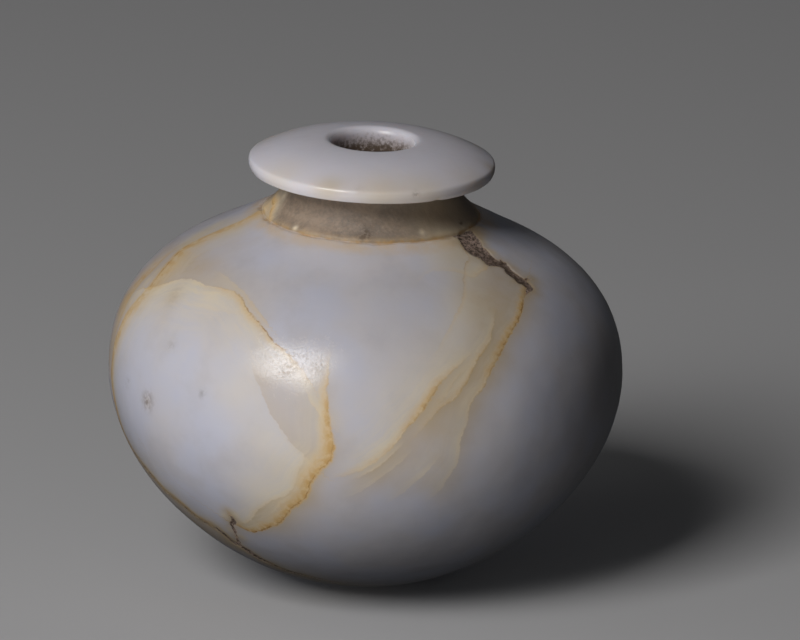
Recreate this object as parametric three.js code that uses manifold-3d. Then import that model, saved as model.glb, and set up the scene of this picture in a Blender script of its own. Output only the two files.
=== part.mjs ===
// A small squat jar carved from one block of banded stone: a full round belly, a sloping shoulder,
// a short waisted neck, a broad domed disc rim and a narrow mouth. It is hollow and empty, and it
// stands, leaning a little, on a small flat ground off its round bottom.
import * as THREE from 'three';
import { mergeVertices } from 'three/addons/utils/BufferGeometryUtils.js';
import Module from 'manifold-3d';

// Driving dimensions in millimetres. Heights marked "above the belly" are measured along the jar's
// own axis, up from the belly's widest ring.
const bellyRadius = 40;
const bellyHeight = 32.2; // of the widest ring above the table
const bottomDepth = 33.9; // of the round bottom below the belly, before the flat is ground
const bottomFullness = 1.85; // exponent of the lower curve, 2 is an ellipse
const shoulderRise = 25.5; // height the upper curve would reach on the axis
const shoulderFullness = 2.28;
const shoulderStart = 26.8; // radius where the curve runs out into the straight slope
const lean = 2.08; // degrees, towards +X

const neckFootRadius = 17.1;
const neckWaistRadius = 13.5;
const neckWaistHeight = 30.0; // above the belly
const grooveWidth = 0.7; // scribed line round the foot of the neck
const grooveDepth = 0.35;

const rimRadius = 18.92;
const rimEdgeHeight = 33.78; // of the crisp upper edge, above the belly
const rimEdgeThickness = 1.93;
const rimBulge = 0.14; // the edge is very slightly rounded
const rimTopHeight = 37.13; // where the dome would meet the axis, above the belly
const rimDomePower = 3.4;
const undersideInset = 0.25; // the lower edge lies this far inside the upper one
const underFillet = 1.2; // where the neck meets the underside of the rim

const boreRadius = 6.3;
const lipRound = 1.2;
const cavityRadius = 27;
const cavityRise = 21; // of the hollow's round roof above the belly
const cavityDrop = 23; // of its round floor below the belly

const roundSegments = 84;

// Quarter of a rounded outline between the widest radius and the axis: the height at a radius.
const curveHeight = (radius, widest, height, fullness) =>
  height * (1 - (radius / widest) ** fullness) ** (1 / fullness);

// The same curve walked in even steps of angle, from the end near the axis to the widest ring.
function curvePoints(widest, height, fullness, steps, startRadius, endRadius) {
  const angleOf = (radius) => Math.acos((radius / widest) ** (fullness / 2));
  const first = angleOf(startRadius);
  const last = angleOf(endRadius);
  return Array.from({ length: steps + 1 }, (_, i) => {
    const angle = first + ((last - first) * i) / steps;
    const radius = widest * Math.cos(angle) ** (2 / fullness);
    return new THREE.Vector2(radius, height * Math.sin(angle) ** (2 / fullness));
  });
}

const below = (points) => points.map((p) => new THREE.Vector2(p.x, -p.y));

// Round bottom, belly, curved shoulder and the straight slope up to the neck.
function bodyOutline() {
  const bottom = below(curvePoints(bellyRadius, bottomDepth, bottomFullness, 14, 0, bellyRadius));
  const upper = curvePoints(bellyRadius, shoulderRise, shoulderFullness, 8, bellyRadius, shoulderStart);
  return [...bottom, ...upper.slice(1)];
}

// The straight slope: how steeply the curve stops, and where that slope reaches the neck's foot.
function shoulderSlope() {
  const step = 0.01;
  const top = curveHeight(shoulderStart, bellyRadius, shoulderRise, shoulderFullness);
  const further = curveHeight(shoulderStart - step, bellyRadius, shoulderRise, shoulderFullness);
  const slope = (further - top) / step;
  return { slope, footHeight: top + slope * (shoulderStart - neckFootRadius) };
}

// A scribed line, then the neck sweeping in to its waist.
function neckOutline() {
  const { slope, footHeight } = shoulderSlope();
  const onSlope = (outwards, depth) =>
    new THREE.Vector2(neckFootRadius + outwards, footHeight - slope * outwards - depth);
  const sweep = new THREE.QuadraticBezierCurve(
    onSlope(0, 0),
    new THREE.Vector2(neckWaistRadius + 0.5, (footHeight + neckWaistHeight) / 2),
    new THREE.Vector2(neckWaistRadius, neckWaistHeight),
  );
  return [onSlope(grooveWidth, 0), onSlope(grooveWidth / 3, grooveDepth), ...sweep.getPoints(5)];
}

// Height of the rim's domed top at a radius.
function domeHeight(radius) {
  const edgeDrop = rimTopHeight - rimEdgeHeight;
  return rimTopHeight - edgeDrop * (radius / rimRadius) ** rimDomePower;
}

// Underside, edge and domed top of the disc rim, ending where the mouth's lip begins.
function rimOutline() {
  const lowerEdge = rimEdgeHeight - rimEdgeThickness;
  const lowerRadius = rimRadius - undersideInset;
  const fillet = [0, 0.5, 1].map((along) => {
    const angle = along * (Math.PI / 2);
    return new THREE.Vector2(
      neckWaistRadius + underFillet * (1 - Math.cos(angle)),
      lowerEdge - underFillet * (1 - Math.sin(angle)),
    );
  });
  const lipOuter = boreRadius + lipRound;
  const domeSteps = 6;
  const dome = Array.from({ length: domeSteps + 1 }, (_, i) => {
    const along = Math.cos((i / domeSteps) * (Math.PI / 2));
    const radius = lipOuter + (rimRadius - lipOuter) * along;
    return new THREE.Vector2(radius, domeHeight(radius));
  });
  return [
    ...fillet,
    new THREE.Vector2(lowerRadius, lowerEdge),
    new THREE.Vector2(rimRadius + rimBulge, rimEdgeHeight - rimEdgeThickness / 2),
    ...dome,
  ];
}

// Rounded lip, straight bore through the rim and neck, then the hollow inside the belly.
function insideOutline() {
  const lipSteps = 4;
  const lipTop = domeHeight(boreRadius + lipRound);
  const lip = Array.from({ length: lipSteps }, (_, i) => {
    const angle = ((i + 1) / lipSteps) * (Math.PI / 2);
    return new THREE.Vector2(
      boreRadius + lipRound * (1 - Math.sin(angle)),
      lipTop - lipRound * (1 - Math.cos(angle)),
    );
  });
  const roof = curvePoints(cavityRadius, cavityRise, 2, 6, boreRadius, cavityRadius);
  const floor = below(curvePoints(cavityRadius, cavityDrop, 2, 7, cavityRadius, 0)).slice(1);
  return [...lip, ...roof, ...floor];
}

// Spins the outline round the jar's axis, leans it and lifts it to its place above the table.
function turnedBlock() {
  const outline = [...bodyOutline(), ...neckOutline(), ...rimOutline(), ...insideOutline()];
  const turned = new THREE.LatheGeometry(outline, roundSegments);
  turned.rotateX(Math.PI / 2);
  turned.rotateY(THREE.MathUtils.degToRad(lean));
  turned.translate(0, 0, bellyHeight);
  return turned;
}

// What the flat takes off: everything below the table.
function groundAway() {
  const size = 3 * bellyRadius;
  const slab = new THREE.BoxGeometry(size, size, bellyHeight);
  slab.translate(0, 0, -bellyHeight / 2);
  return slab;
}

const wasm = await Module();
wasm.setup();

function toSolid(geometry) {
  geometry.deleteAttribute('normal');
  geometry.deleteAttribute('uv');
  const merged = mergeVertices(geometry, 1e-4);
  return new wasm.Manifold(new wasm.Mesh({
    numProp: 3,
    vertProperties: new Float32Array(merged.attributes.position.array),
    triVerts: new Uint32Array(merged.index.array),
  }));
}

function toGeometry(solid) {
  const mesh = solid.getMesh();
  const geometry = new THREE.BufferGeometry();
  geometry.setAttribute('position', new THREE.BufferAttribute(mesh.vertProperties, 3));
  geometry.setIndex(new THREE.BufferAttribute(mesh.triVerts, 1));
  geometry.computeVertexNormals();
  return geometry;
}

const milkyStone = new THREE.MeshStandardMaterial({ color: 0xc9cbd8, roughness: 0.32, metalness: 0 });

const vessel = new THREE.Mesh(
  toGeometry(toSolid(turnedBlock()).subtract(toSolid(groundAway()))),
  milkyStone,
);
vessel.name = 'vessel';

const jar = new THREE.Group();
jar.add(vessel);

export default jar;
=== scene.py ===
import math

import bpy
import numpy as np
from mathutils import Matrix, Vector, noise


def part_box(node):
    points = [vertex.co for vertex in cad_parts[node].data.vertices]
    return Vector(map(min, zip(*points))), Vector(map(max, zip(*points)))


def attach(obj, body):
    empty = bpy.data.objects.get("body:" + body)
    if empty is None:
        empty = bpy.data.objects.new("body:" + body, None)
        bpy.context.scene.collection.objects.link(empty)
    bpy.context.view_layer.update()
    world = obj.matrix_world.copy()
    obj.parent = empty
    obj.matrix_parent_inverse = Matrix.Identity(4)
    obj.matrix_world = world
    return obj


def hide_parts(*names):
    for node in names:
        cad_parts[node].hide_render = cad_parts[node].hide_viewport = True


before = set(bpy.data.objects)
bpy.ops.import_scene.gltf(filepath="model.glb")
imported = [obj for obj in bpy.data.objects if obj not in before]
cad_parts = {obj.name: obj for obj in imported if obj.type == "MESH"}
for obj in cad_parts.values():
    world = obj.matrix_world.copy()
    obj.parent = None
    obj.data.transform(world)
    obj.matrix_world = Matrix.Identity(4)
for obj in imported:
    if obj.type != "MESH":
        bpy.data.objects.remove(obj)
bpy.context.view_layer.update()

# Heights are mm up the jar's own axis from the belly's widest ring.
jar = {
    "bellyRadius": 40.0,
    "bellyHeight": 32.2,     # of the widest ring above the table
    "bottomDepth": 33.9,
    "bottomFullness": 1.85,
    "shoulderRise": 25.5,
    "shoulderFullness": 2.28,
    "shoulderStart": 26.8,   # radius where the straight slope begins
    "lean": 2.08,            # degrees towards +X
    "neckFoot": 17.1,
    "neckWaist": 13.5,
    "neckWaistHeight": 30.0,
    "rimRadius": 19.02,
    "rimEdge": 33.78,
    "rimThickness": 1.93,
    "rimBulge": 0.14,
    "rimTop": 37.13,
    "rimDome": 3.4,
    "undersideInset": 0.25,
    "underFillet": 1.2,
    "edgeWear": 0.35,        # how far back the rim's two crisp edges are rounded
    "bore": 6.3,
    "lipRound": 1.2,
    "hollow": 27.0,
    "hollowRise": 21.0,
    "hollowDrop": 23.0,
    "underRadius": 14.0,     # inside it the underside needs fewer rows
    "footBand": 1.3,         # width of the fine rows beside the neck's foot
    "boreSeen": 29.0,        # the mouth shows the bore down to this height
    "columns": 372,
    "frontCrowding": 0.42,   # columns stand closer together on the side that shows
}

vesselLow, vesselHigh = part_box("vessel")
mm = (vesselHigh.y - vesselLow.y) / (2 * jar["bellyRadius"])


def quarterCurve(widest, height, fullness, fromRadius, toRadius):
    def angleAt(radius):
        return math.acos(min(1.0, (radius / widest) ** (fullness / 2)))
    angles = np.linspace(angleAt(fromRadius), angleAt(toRadius), 200)
    radii = widest * np.clip(np.cos(angles), 0, 1) ** (2 / fullness)
    heights = height * np.clip(np.sin(angles), 0, 1) ** (2 / fullness)
    return np.column_stack([radii, heights])


def bend(before, corner, after):
    t = np.linspace(0, 1, 40)[:, None]
    before, corner, after = (np.array(p, dtype=float) for p in (before, corner, after))
    return (1 - t) ** 2 * before + 2 * t * (1 - t) * corner + t ** 2 * after


def spaced(points, gap):  # the same line with its points an even gap apart
    points = np.asarray(points, dtype=float)
    along = np.concatenate([[0], np.cumsum(np.hypot(*np.diff(points, axis=0).T))])
    steps = max(2, round(along[-1] / gap) + 1)
    even = np.linspace(0, along[-1], steps)
    return np.column_stack([np.interp(even, along, points[:, i]) for i in (0, 1)])


def domeHeight(radius):
    drop = jar["rimTop"] - jar["rimEdge"]
    return jar["rimTop"] - drop * (radius / jar["rimRadius"]) ** jar["rimDome"]


def jarOutline():  # (radius, height) of every row, its zone, and the height of the neck's foot
    upper = quarterCurve(jar["bellyRadius"], jar["shoulderRise"], jar["shoulderFullness"],
                         jar["bellyRadius"], jar["shoulderStart"])
    steepness = (upper[-1, 1] - upper[-2, 1]) / (upper[-2, 0] - upper[-1, 0])
    foot = (jar["neckFoot"], upper[-1, 1] + steepness * (jar["shoulderStart"] - jar["neckFoot"]))
    nearFoot = (jar["neckFoot"] + jar["footBand"], foot[1] - steepness * jar["footBand"])
    bottom = quarterCurve(jar["bellyRadius"], jar["bottomDepth"], jar["bottomFullness"],
                          0, jar["bellyRadius"]) * (1, -1)
    unseen = bottom[:, 0] < jar["underRadius"]
    waist = (jar["neckWaist"], jar["neckWaistHeight"])
    sweep = bend(foot, (waist[0] + 0.5, (foot[1] + waist[1]) / 2), waist)
    under, fillet, wear = jar["rimEdge"] - jar["rimThickness"], jar["underFillet"], jar["edgeWear"]
    lowerEdge = (jar["rimRadius"] - jar["undersideInset"], under)
    beforeLower, afterLower = (lowerEdge[0] - wear, under), (lowerEdge[0] + 0.06, under + wear)
    bulge = (jar["rimRadius"] + jar["rimBulge"], under + jar["rimThickness"] / 2)
    upperEdge = (jar["rimRadius"], jar["rimEdge"])
    beforeUpper = (upperEdge[0] + 0.03, upperEdge[1] - wear)
    domeRadii = np.linspace(jar["rimRadius"] - wear, jar["bore"] + jar["lipRound"], 60)
    dome = np.column_stack([domeRadii, domeHeight(domeRadii)])
    quarter = np.linspace(0, math.pi / 2, 30)
    lip = np.column_stack([jar["bore"] + jar["lipRound"] * (1 - np.sin(quarter)),
                           domeHeight(domeRadii[-1]) - jar["lipRound"] * (1 - np.cos(quarter))])
    seen = (jar["bore"], jar["boreSeen"])
    roof = quarterCurve(jar["hollow"], jar["hollowRise"], 2, jar["bore"], jar["hollow"])
    floor = quarterCurve(jar["hollow"], jar["hollowDrop"], 2, jar["hollow"], 0) * (1, -1)
    rows, zones = [], []
    for zone, line, gap in (  # the gap is from row to row
            ("body", bottom[unseen], 1.5),
            ("body", bottom[~unseen], 0.6),
            ("body", upper, 0.5),
            ("body", [upper[-1], nearFoot], 0.42),
            ("body", [nearFoot, foot], 0.2),
            ("neck", sweep[:9], 0.2),
            ("neck", sweep[8:], 0.4),
            ("neck", bend((waist[0], under - fillet), (waist[0], under), (waist[0] + fillet, under)), 0.5),
            ("rim", [(waist[0] + fillet, under), beforeLower], 1.2),
            ("rim", bend(beforeLower, lowerEdge, afterLower), 0.15),
            ("rim", bend(afterLower, bulge, beforeUpper), 0.35),
            ("rim", bend(beforeUpper, upperEdge, dome[0]), 0.15),
            ("rim", dome, 0.54),
            ("lip", lip, 0.22),
            ("bore", [lip[-1], seen], 0.9),
            ("bore", [seen, roof[0]], 2.5),
            ("hollow", roof, 3.5),
            ("hollow", floor, 4.0)):
        line = spaced(line, gap)
        if rows and math.dist(line[0], rows[-1]) < 0.02:
            line = line[1:]
        rows.extend(map(tuple, line))
        zones.extend([zone] * len(line))
    rows[0], rows[-1] = (0.0, rows[0][1]), (0.0, rows[-1][1])
    return np.array(rows), np.array(zones), foot[1]


outline, rowZones, footHeight = jarOutline()
outerRows = np.isin(rowZones, ["body", "neck"]) & (outline[:, 1] < jar["neckWaistHeight"])


def outerRadius(height):
    return np.interp(height, outline[outerRows, 1], outline[outerRows, 0])


# Small helpers for objects and node trees.
def addObject(name, data):
    thing = bpy.data.objects.new(name, data)
    bpy.context.collection.objects.link(thing)
    return thing


def plug(tree, socket, value):
    if isinstance(value, bpy.types.NodeSocket):
        tree.links.new(value, socket)
    else:
        socket.default_value = value


def addNode(tree, kind, sockets=None, **settings):
    node = tree.nodes.new(kind)
    for name, value in settings.items():
        setattr(node, name, value)
    for key, value in (sockets or {}).items():
        plug(tree, node.inputs[key], value)
    return node


def calc(operation, *values, clamp=False):  # a Math node in the tree that the first socket belongs to
    tree = next(value.id_data for value in values if isinstance(value, bpy.types.NodeSocket))
    node = addNode(tree, "ShaderNodeMath", dict(enumerate(values)), operation=operation, use_clamp=clamp)
    return node.outputs[0]


def times(first, second, clamp=False):
    return calc("MULTIPLY", first, second, clamp=clamp)


def plus(first, second):
    return calc("ADD", first, second)


def scaled(value, factor, base):
    return calc("MULTIPLY_ADD", value, factor, base)


def addInputs(tree, **kinds):
    for kind, names in kinds.items():
        for name in names:
            tree.interface.new_socket(name=name, in_out="INPUT", socket_type="NodeSocket" + kind)
    return addNode(tree, "NodeGroupInput").outputs


# The turned body: a grid whose rows follow the outline and whose columns go round the axis.
def turningTree():
    tree = bpy.data.node_groups.new("turnedJar", "GeometryNodeTree")
    tree.interface.new_socket(name="Geometry", in_out="OUTPUT", socket_type="NodeSocketGeometry")
    given = addInputs(tree, Object=["Outline"], Int=["Rows", "Columns"],
                      Float=["Front Crowding", "Lean", "Belly Height"], Material=["Stone"])
    index = addNode(tree, "GeometryNodeInputIndex").outputs[0]
    grid = addNode(tree, "GeometryNodeMeshGrid", {
        "Vertices X": plus(given["Columns"], 1.0), "Vertices Y": given["Rows"]})
    row = calc("FLOORED_MODULO", index, given["Rows"])
    column = calc("FLOOR", calc("DIVIDE", plus(index, 0.5), given["Rows"]))
    turn = times(calc("DIVIDE", column, given["Columns"]), 2 * math.pi)
    turn = calc("SUBTRACT", turn, math.pi)
    crowded = times(given["Front Crowding"], calc("SINE", turn))
    angle = calc("SUBTRACT", turn, crowded)
    outlineShape = addNode(tree, "GeometryNodeObjectInfo", {"Object": given["Outline"]}).outputs["Geometry"]
    here = addNode(tree, "GeometryNodeInputPosition").outputs[0]
    onRow = addNode(tree, "GeometryNodeSampleIndex", {
        "Geometry": outlineShape, "Value": here, "Index": row}, data_type="FLOAT_VECTOR")
    point = addNode(tree, "ShaderNodeSeparateXYZ", {0: onRow.outputs[0]}).outputs
    spun = addNode(tree, "ShaderNodeCombineXYZ", {
        "X": times(point["X"], calc("SINE", angle)),
        "Y": times(point["X"], times(calc("COSINE", angle), -1.0)),
        "Z": point["Z"]}).outputs[0]
    leant = addNode(tree, "ShaderNodeVectorRotate", {
        "Vector": spun, "Angle": given["Lean"]}, rotation_type="Y_AXIS").outputs[0]
    leant = addNode(tree, "ShaderNodeSeparateXYZ", {0: leant}).outputs
    lifted = calc("MAXIMUM", plus(leant["Z"], given["Belly Height"]), 0.0)  # ground flat below
    placed = addNode(tree, "ShaderNodeCombineXYZ", {"X": leant["X"], "Y": leant["Y"], "Z": lifted})
    shaped = addNode(tree, "GeometryNodeSetPosition", {
        "Geometry": grid.outputs["Mesh"], "Position": placed.outputs[0]})
    marked = addNode(tree, "GeometryNodeStoreNamedAttribute", {
        "Geometry": shaped.outputs[0], "Name": "row", "Value": row}, data_type="FLOAT", domain="POINT")
    closed = addNode(tree, "GeometryNodeMergeByDistance", {"Geometry": marked.outputs[0], "Distance": 1e-6})
    real = addNode(tree, "GeometryNodeRealizeInstances", {"Geometry": closed.outputs[0]})
    stone = addNode(tree, "GeometryNodeSetMaterial", {
        "Geometry": real.outputs[0], "Material": given["Stone"]})
    addNode(tree, "NodeGroupOutput", {"Geometry": stone.outputs[0]})
    return tree


def turnJar(stone):
    lineMesh = bpy.data.meshes.new("jarOutline")
    points = [(radius * mm, 0, height * mm) for radius, height in outline]
    lineMesh.from_pydata(points, [(i, i + 1) for i in range(len(points) - 1)], [])
    line = addObject("jarOutline", lineMesh)
    blank = addObject("turning", bpy.data.meshes.new("turning"))
    tree = turningTree()
    turned = blank.modifiers.new("turned", "NODES")
    turned.node_group = tree
    values = {"Outline": line, "Rows": len(outline), "Columns": jar["columns"],
              "Front Crowding": jar["frontCrowding"], "Lean": math.radians(jar["lean"]),
              "Belly Height": jar["bellyHeight"] * mm, "Stone": stone}
    for item in tree.interface.items_tree:
        if item.in_out == "INPUT":
            turned[item.identifier] = values[item.name]
    graph = bpy.context.evaluated_depsgraph_get()
    mesh = bpy.data.meshes.new_from_object(blank.evaluated_get(graph), depsgraph=graph)
    bpy.data.objects.remove(blank)
    bpy.data.objects.remove(line)
    mesh.name = "jar"
    return addObject("jar", mesh)


# Veins. Each runs through (degrees round from the front, height). Its other values are spread evenly along
# its length: "veil" is the pale veil that fades away over "reach" mm on its veiled side, "shade" the duller
# stone beyond the other side, "gold" the golden glow "width" mm wide, and "core" a thin brown line. A "side"
# of 1 turns the vein over. Veins that share a field don't come near each other.
veins = {
    "lobeTop": {
        "field": "lobe", "veil": (0.8, 0.95, 1, 1, 1, 0.9, 0.9, 0.8, 0.7, 0.5, 0.3),
        "reach": (3, 4.5, 5.5, 5.5, 5, 4.5, 4, 3.5, 3, 3),
        "shade": (0.3, 0.5, 0.5, 0.45, 0.4, 0.3, 0.1, 0.1, 0), "shadeReach": (3, 3, 2.5, 2, 1.5),
        "gold": (0.6, 0.25, 0.1, 0.15, 0.35, 0.5, 0.5, 0.4, 0.3, 0.2),
        "width": (1.8, 1.2, 1, 1.2, 1.6, 1.8, 1.6, 1.4, 1.2, 1.2),
        "core": (0, 0, 0, 0, 0.1, 0.4, 0.8, 0.9, 0.4, 0.2),
        "path": [(-76.3, 14.4), (-73.2, 15.2), (-68.7, 16.5), (-65.7, 17.3), (-61.6, 17.8), (-56.6, 18),
            (-53, 17.9), (-48.8, 18.1), (-45.7, 18.2), (-43.2, 18.2), (-39.6, 17.9), (-36.1, 17.2),
            (-33.2, 16.4), (-29.2, 15.5), (-25.8, 14.4), (-23.5, 13.6), (-20.9, 12.8), (-17.6, 11.6),
            (-15, 10.4), (-13.2, 9)]},
    "lobeInner": {
        "field": "fine", "side": 1, "veil": (0, 0.3, 0.35, 0.4, 0.2), "reach": (2, 2.5, 2),
        "gold": (0, 0.1, 0.1),
        "path": [(-58, 14.2), (-52.8, 15.3), (-43.4, 15.7), (-39.8, 15.7), (-35.2, 16)]},
    "lobeRight": {
        "field": "right", "veil": (0, 0.4, 0.8, 1, 1, 1, 1, 1, 1, 1, 0.9, 0.9),
        "reach": (1, 1.5, 2.4, 3.2, 4.2, 4.6, 4.4, 3.6, 3, 2.6, 1.8),
        "shade": (0.1, 0.3, 0.5, 0.8, 1, 0.8, 0.4), "shadeReach": (1.2, 1.8, 2.4, 1.8),
        "gold": (0, 0.3, 0.7, 0.9, 1, 1, 1, 1, 1, 1, 0.95, 0.9),
        "width": (0.8, 1.1, 1.6, 2.2, 3, 3.6, 3.6, 3.2, 2.6, 2.4, 2, 1.6),
        "core": (0, 0, 0.1, 0.2, 0.3, 0.4, 0.7, 0.6, 0.6, 0.9, 0.9, 0.6),
        "path": [(-9.4, 14.1), (-9.1, 11.6), (-8.8, 9), (-9.1, 8), (-8.4, 5.9), (-8, 3.4), (-7.3, 1.6),
            (-6.9, -0.3), (-7.4, -2.6), (-9.5, -4.4), (-11.7, -6.6), (-12.4, -8.5), (-13.2, -9.7),
            (-15.3, -11.1), (-17.4, -12.2), (-18.4, -13.3), (-20, -14.5), (-21.9, -15.7), (-24.3, -16.5),
            (-27.9, -17.6), (-31.1, -18.4), (-33.3, -18.3), (-34.8, -18)]},
    "facet": {
        "field": "facet", "within": "lobeRight",
        "veil": (0, 0.15, 0.25, 0.3, 0.4, 0.5, 0.6, 0.7, 0.9, 1, 1),
        "reach": (3, 2.5, 2, 1.6, 1.6, 1.4, 1.2),
        "shade": (0, 0.4, 0.5, 0.55, 0.6, 0.65, 0.8, 0.95, 1, 1, 0.9), "shadeReach": (8, 9, 14, 14, 8, 6),
        "gold": (0, 0, 0.05, 0.1, 0.2, 0.3, 0.3, 0.4), "width": (0.8, 0.8, 1),
        "core": (0, 0, 0, 0, 0.1, 0.1, 0.2),
        "path": [(-28.5, 11.5), (-26.8, 9.3), (-24.1, 6.5), (-20.7, 3.2), (-17.1, 0.4), (-14.9, -1.4),
            (-13.3, -2.6), (-14.7, -5), (-15.7, -7.4), (-17.7, -9.5), (-20.7, -10.7), (-23, -11.7),
            (-25.4, -13), (-27.6, -14.5), (-29.1, -15.6), (-31.2, -16.6), (-32.9, -17.1), (-34.6, -17.5)]},
    "facetStub": {
        "field": "fine", "veil": (0.4, 0.5, 0.5), "reach": (1, 1), "gold": (0.1, 0.3, 0.4),
        "shade": (0.3, 0.3), "shadeReach": (1, 1),
        "path": [(-13.3, -2.6), (-11.6, -3.7), (-10, -4.6)]},
    "innerArc": {
        "field": "middle", "side": 1, "veil": (0.2, 0.5, 0.7, 0.7), "reach": (1, 1.5, 1.5),
        "gold": (0, 0.15, 0.2),
        "path": [(-14.2, 8), (-12.8, 6.4), (-10.4, 4.6), (-8.5, 3.4)]},
    "outerBand": {
        "field": "outer", "veil": (0.6, 0.8, 0.8, 0.9, 1, 1, 1, 1, 0.9, 0.7, 0.5, 0.3, 0),
        "reach": (1, 1.2, 1.5, 1.6, 1.8, 2.2, 2.6, 2.6, 2.4), "shade": (0.6, 0.5, 0.4, 0.3, 0.3, 0.2, 0),
        "shadeReach": (0.8, 0.8, 1), "gold": (0.9, 1, 1, 1, 0.8, 0.4, 0.2, 0.15, 0.1, 0.05, 0),
        "width": (1.3, 1.5, 1.7, 1.6, 1.3, 1, 1, 0.8), "core": (0.5, 0.9, 0.8, 0.6, 0.3, 0.1, 0, 0, 0, 0),
        "path": [(54.8, 18.9), (53.2, 18.6), (49.2, 17.6), (45.6, 16.5), (41, 15.3), (37.2, 14.1),
            (34.2, 12.7), (31.7, 11.5), (29.3, 9.8), (27.5, 8.1), (25.2, 7), (23.6, 5.4), (23.2, 3.2),
            (21.6, 0.3), (21.3, -2.8), (20.2, -4.5), (18.9, -6.2), (18.1, -7.6), (16.7, -8.8),
            (14.3, -10.2)]},
    "middleBand": {
        "field": "middle", "veil": (0, 0.5, 0.8, 1, 1, 1, 1, 0.8, 0.5, 0),
        "reach": (1.2, 1.6, 2, 2, 1.6, 1.5), "shade": (0, 0.7, 0.9, 0.9, 0.8, 0.6, 0),
        "shadeReach": (1.1, 1.2), "gold": (0, 0.25, 0.4, 0.5, 0.5, 0.3, 0.1), "width": (0.8, 1.1, 1.2, 1),
        "core": (0, 0, 0.2, 0.2, 0.1, 0),
        "path": [(39, 18), (36.8, 17), (34.5, 15.8), (32.3, 14.4), (30, 13.2), (27, 11.9), (25.1, 10.4),
            (22.6, 8.6), (20, 7), (17.1, 5.8), (14.9, 4.3), (12.4, 2.4), (10.2, 0.6)]},
    "wrinkle": {
        "field": "seam", "veil": (0, 0.6, 0.7, 0.5, 0), "reach": (1.2, 1.2), "gold": (0, 0.4, 0.4, 0.3, 0),
        "shade": (0, 0.8, 0.7, 0), "shadeReach": (0.8, 0.8), "width": (0.9, 0.9),
        "path": [(26.5, 12.2), (23, 10.5), (19.7, 9), (17.8, 7.4), (15.4, 5.7), (13.2, 4.2)]},
    "innerBand": {
        "field": "inner", "veil": (0, 0.6, 0.9, 1, 1, 1, 1, 0.95, 0.8, 0.5, 0),
        "reach": (1.5, 2.2, 2.8, 3, 3, 2.6, 2), "shadeReach": (1.2, 1.6, 2.2, 2.2, 1.6),
        "shade": (0, 0.5, 0.8, 0.9, 0.9, 0.8, 0.7, 0.5, 0.3, 0),
        "gold": (0, 0.3, 0.45, 0.7, 0.8, 0.6, 0.5, 0.5, 0.5, 0.3, 0),
        "width": (0.8, 1, 1.6, 1.8, 1.3, 1.3, 1.4, 1), "core": (0, 0, 0.1, 0.4, 0.3, 0, 0, 0, 0, 0),
        "path": [(26.5, 13.2), (24, 12.2), (20.8, 11), (18.1, 9.8), (16.3, 8.8), (14.7, 7.2), (12.7, 5.4),
            (9.5, 3.1), (6.5, 0.2), (3.1, -2.2), (0, -3.8), (-3.1, -4.9), (-7.4, -6.1)]},
    "scallop": {
        "field": "lobe", "veil": (0, 0.7, 0.6, 0), "reach": (1.2, 1.2), "gold": (0, 0.15, 0.2, 0),
        "shade": (0, 0.7, 0.6, 0), "shadeReach": (1.2, 1.2),
        "path": [(9, 0.8), (6.8, -0.9), (4.4, -2.6), (1.8, -4.2), (-1.5, -5.5), (-3.5, -6)]},
    "lowBand": {
        "field": "fine", "veil": (0, 0.6, 0.6, 0.4, 0), "reach": (1.8, 2), "gold": (0, 0.05, 0),
        "shade": (0, 0.3, 0.2, 0), "shadeReach": (1.5, 1.5),
        "path": [(11, -0.6), (7.4, -3.2), (4.3, -5.1), (0.2, -7.3), (-3, -8.7), (-5, -9.4)]},
    "lowestBand": {
        "field": "middle", "veil": (0, 0.5, 0.35, 0), "reach": (2.5, 2.5), "gold": (0, 0.05, 0),
        "path": [(17.5, -1), (14.5, -4), (10.5, -7.2), (5, -10.2)]},
    "thinLine": {
        "field": "fine", "side": 1, "veil": (0, 0.3, 0.4, 0.4, 0.3, 0), "reach": (1.2, 1.6, 1.6),
        "gold": (0.4, 0.25, 0.2, 0.25, 0.2, 0.1, 0), "width": (0.8, 0.8, 1), "core": (0.3, 0.2, 0, 0, 0),
        "path": [(45.5, 23.6), (44.8, 23), (40.8, 22.5), (37.8, 21.9), (34.3, 21.1), (32.3, 20.3),
            (29.4, 19.1), (25.4, 17.7), (20, 15.3), (17.3, 13.6), (15, 12)]},
    "haloLine": {
        "field": "facet", "veil": (0.8, 0.7, 0.5, 0.3, 0.1, 0), "reach": (1.6, 1.8, 1.8),
        "gold": (0.4, 0.25, 0.1, 0, 0), "width": (1.4, 1.3, 1),
        "path": [(47.5, 21.7), (42.9, 21.5), (38.5, 21.2), (34.7, 21.8), (27.2, 22.2), (20.4, 21.9),
            (14.4, 20.5)]},
    "lobeCrest": {
        "field": "seam", "veil": (0, 0.4, 0.5, 0.5, 0.5, 0.4), "reach": (1.5, 1.5),
        "gold": (0, 0.1, 0.2, 0.3),
        "path": [(-58.7, 19.6), (-52.3, 19.5), (-43.3, 18.9), (-37.4, 18.2), (-31.6, 17), (-27.5, 15.8)]},
    "shoulderSeam": {
        "field": "seam", "side": 1, "veil": (0.4, 0.5, 0.6, 0.7, 0.7, 0.7, 0.8, 0.7, 0.5, 0.3),
        "reach": (2, 3, 4.5, 5, 5, 4, 3, 2.5, 2.5), "shade": (0.2, 0.3, 0.5, 0.5, 0.4, 0.2, 0),
        "shadeReach": (2, 2), "gold": (0.7, 0.7, 0.75, 0.85, 0.9, 0.9, 0.85, 0.8, 0.7, 0.6, 0.4),
        "width": (3.2, 4, 5.2, 6, 5.4, 4.4, 4, 3.6, 3, 2.4),
        "core": (0, 0.1, 0.1, 0.8, 0.5, 0.1, 0.1, 0.2, 0.2, 0.2),
        "path": [(-85.8, 25.2), (-83.5, 24.1), (-83.8, 23.1), (-84.5, 21.5), (-84.7, 20.7), (-84.6, 19.9),
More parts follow.
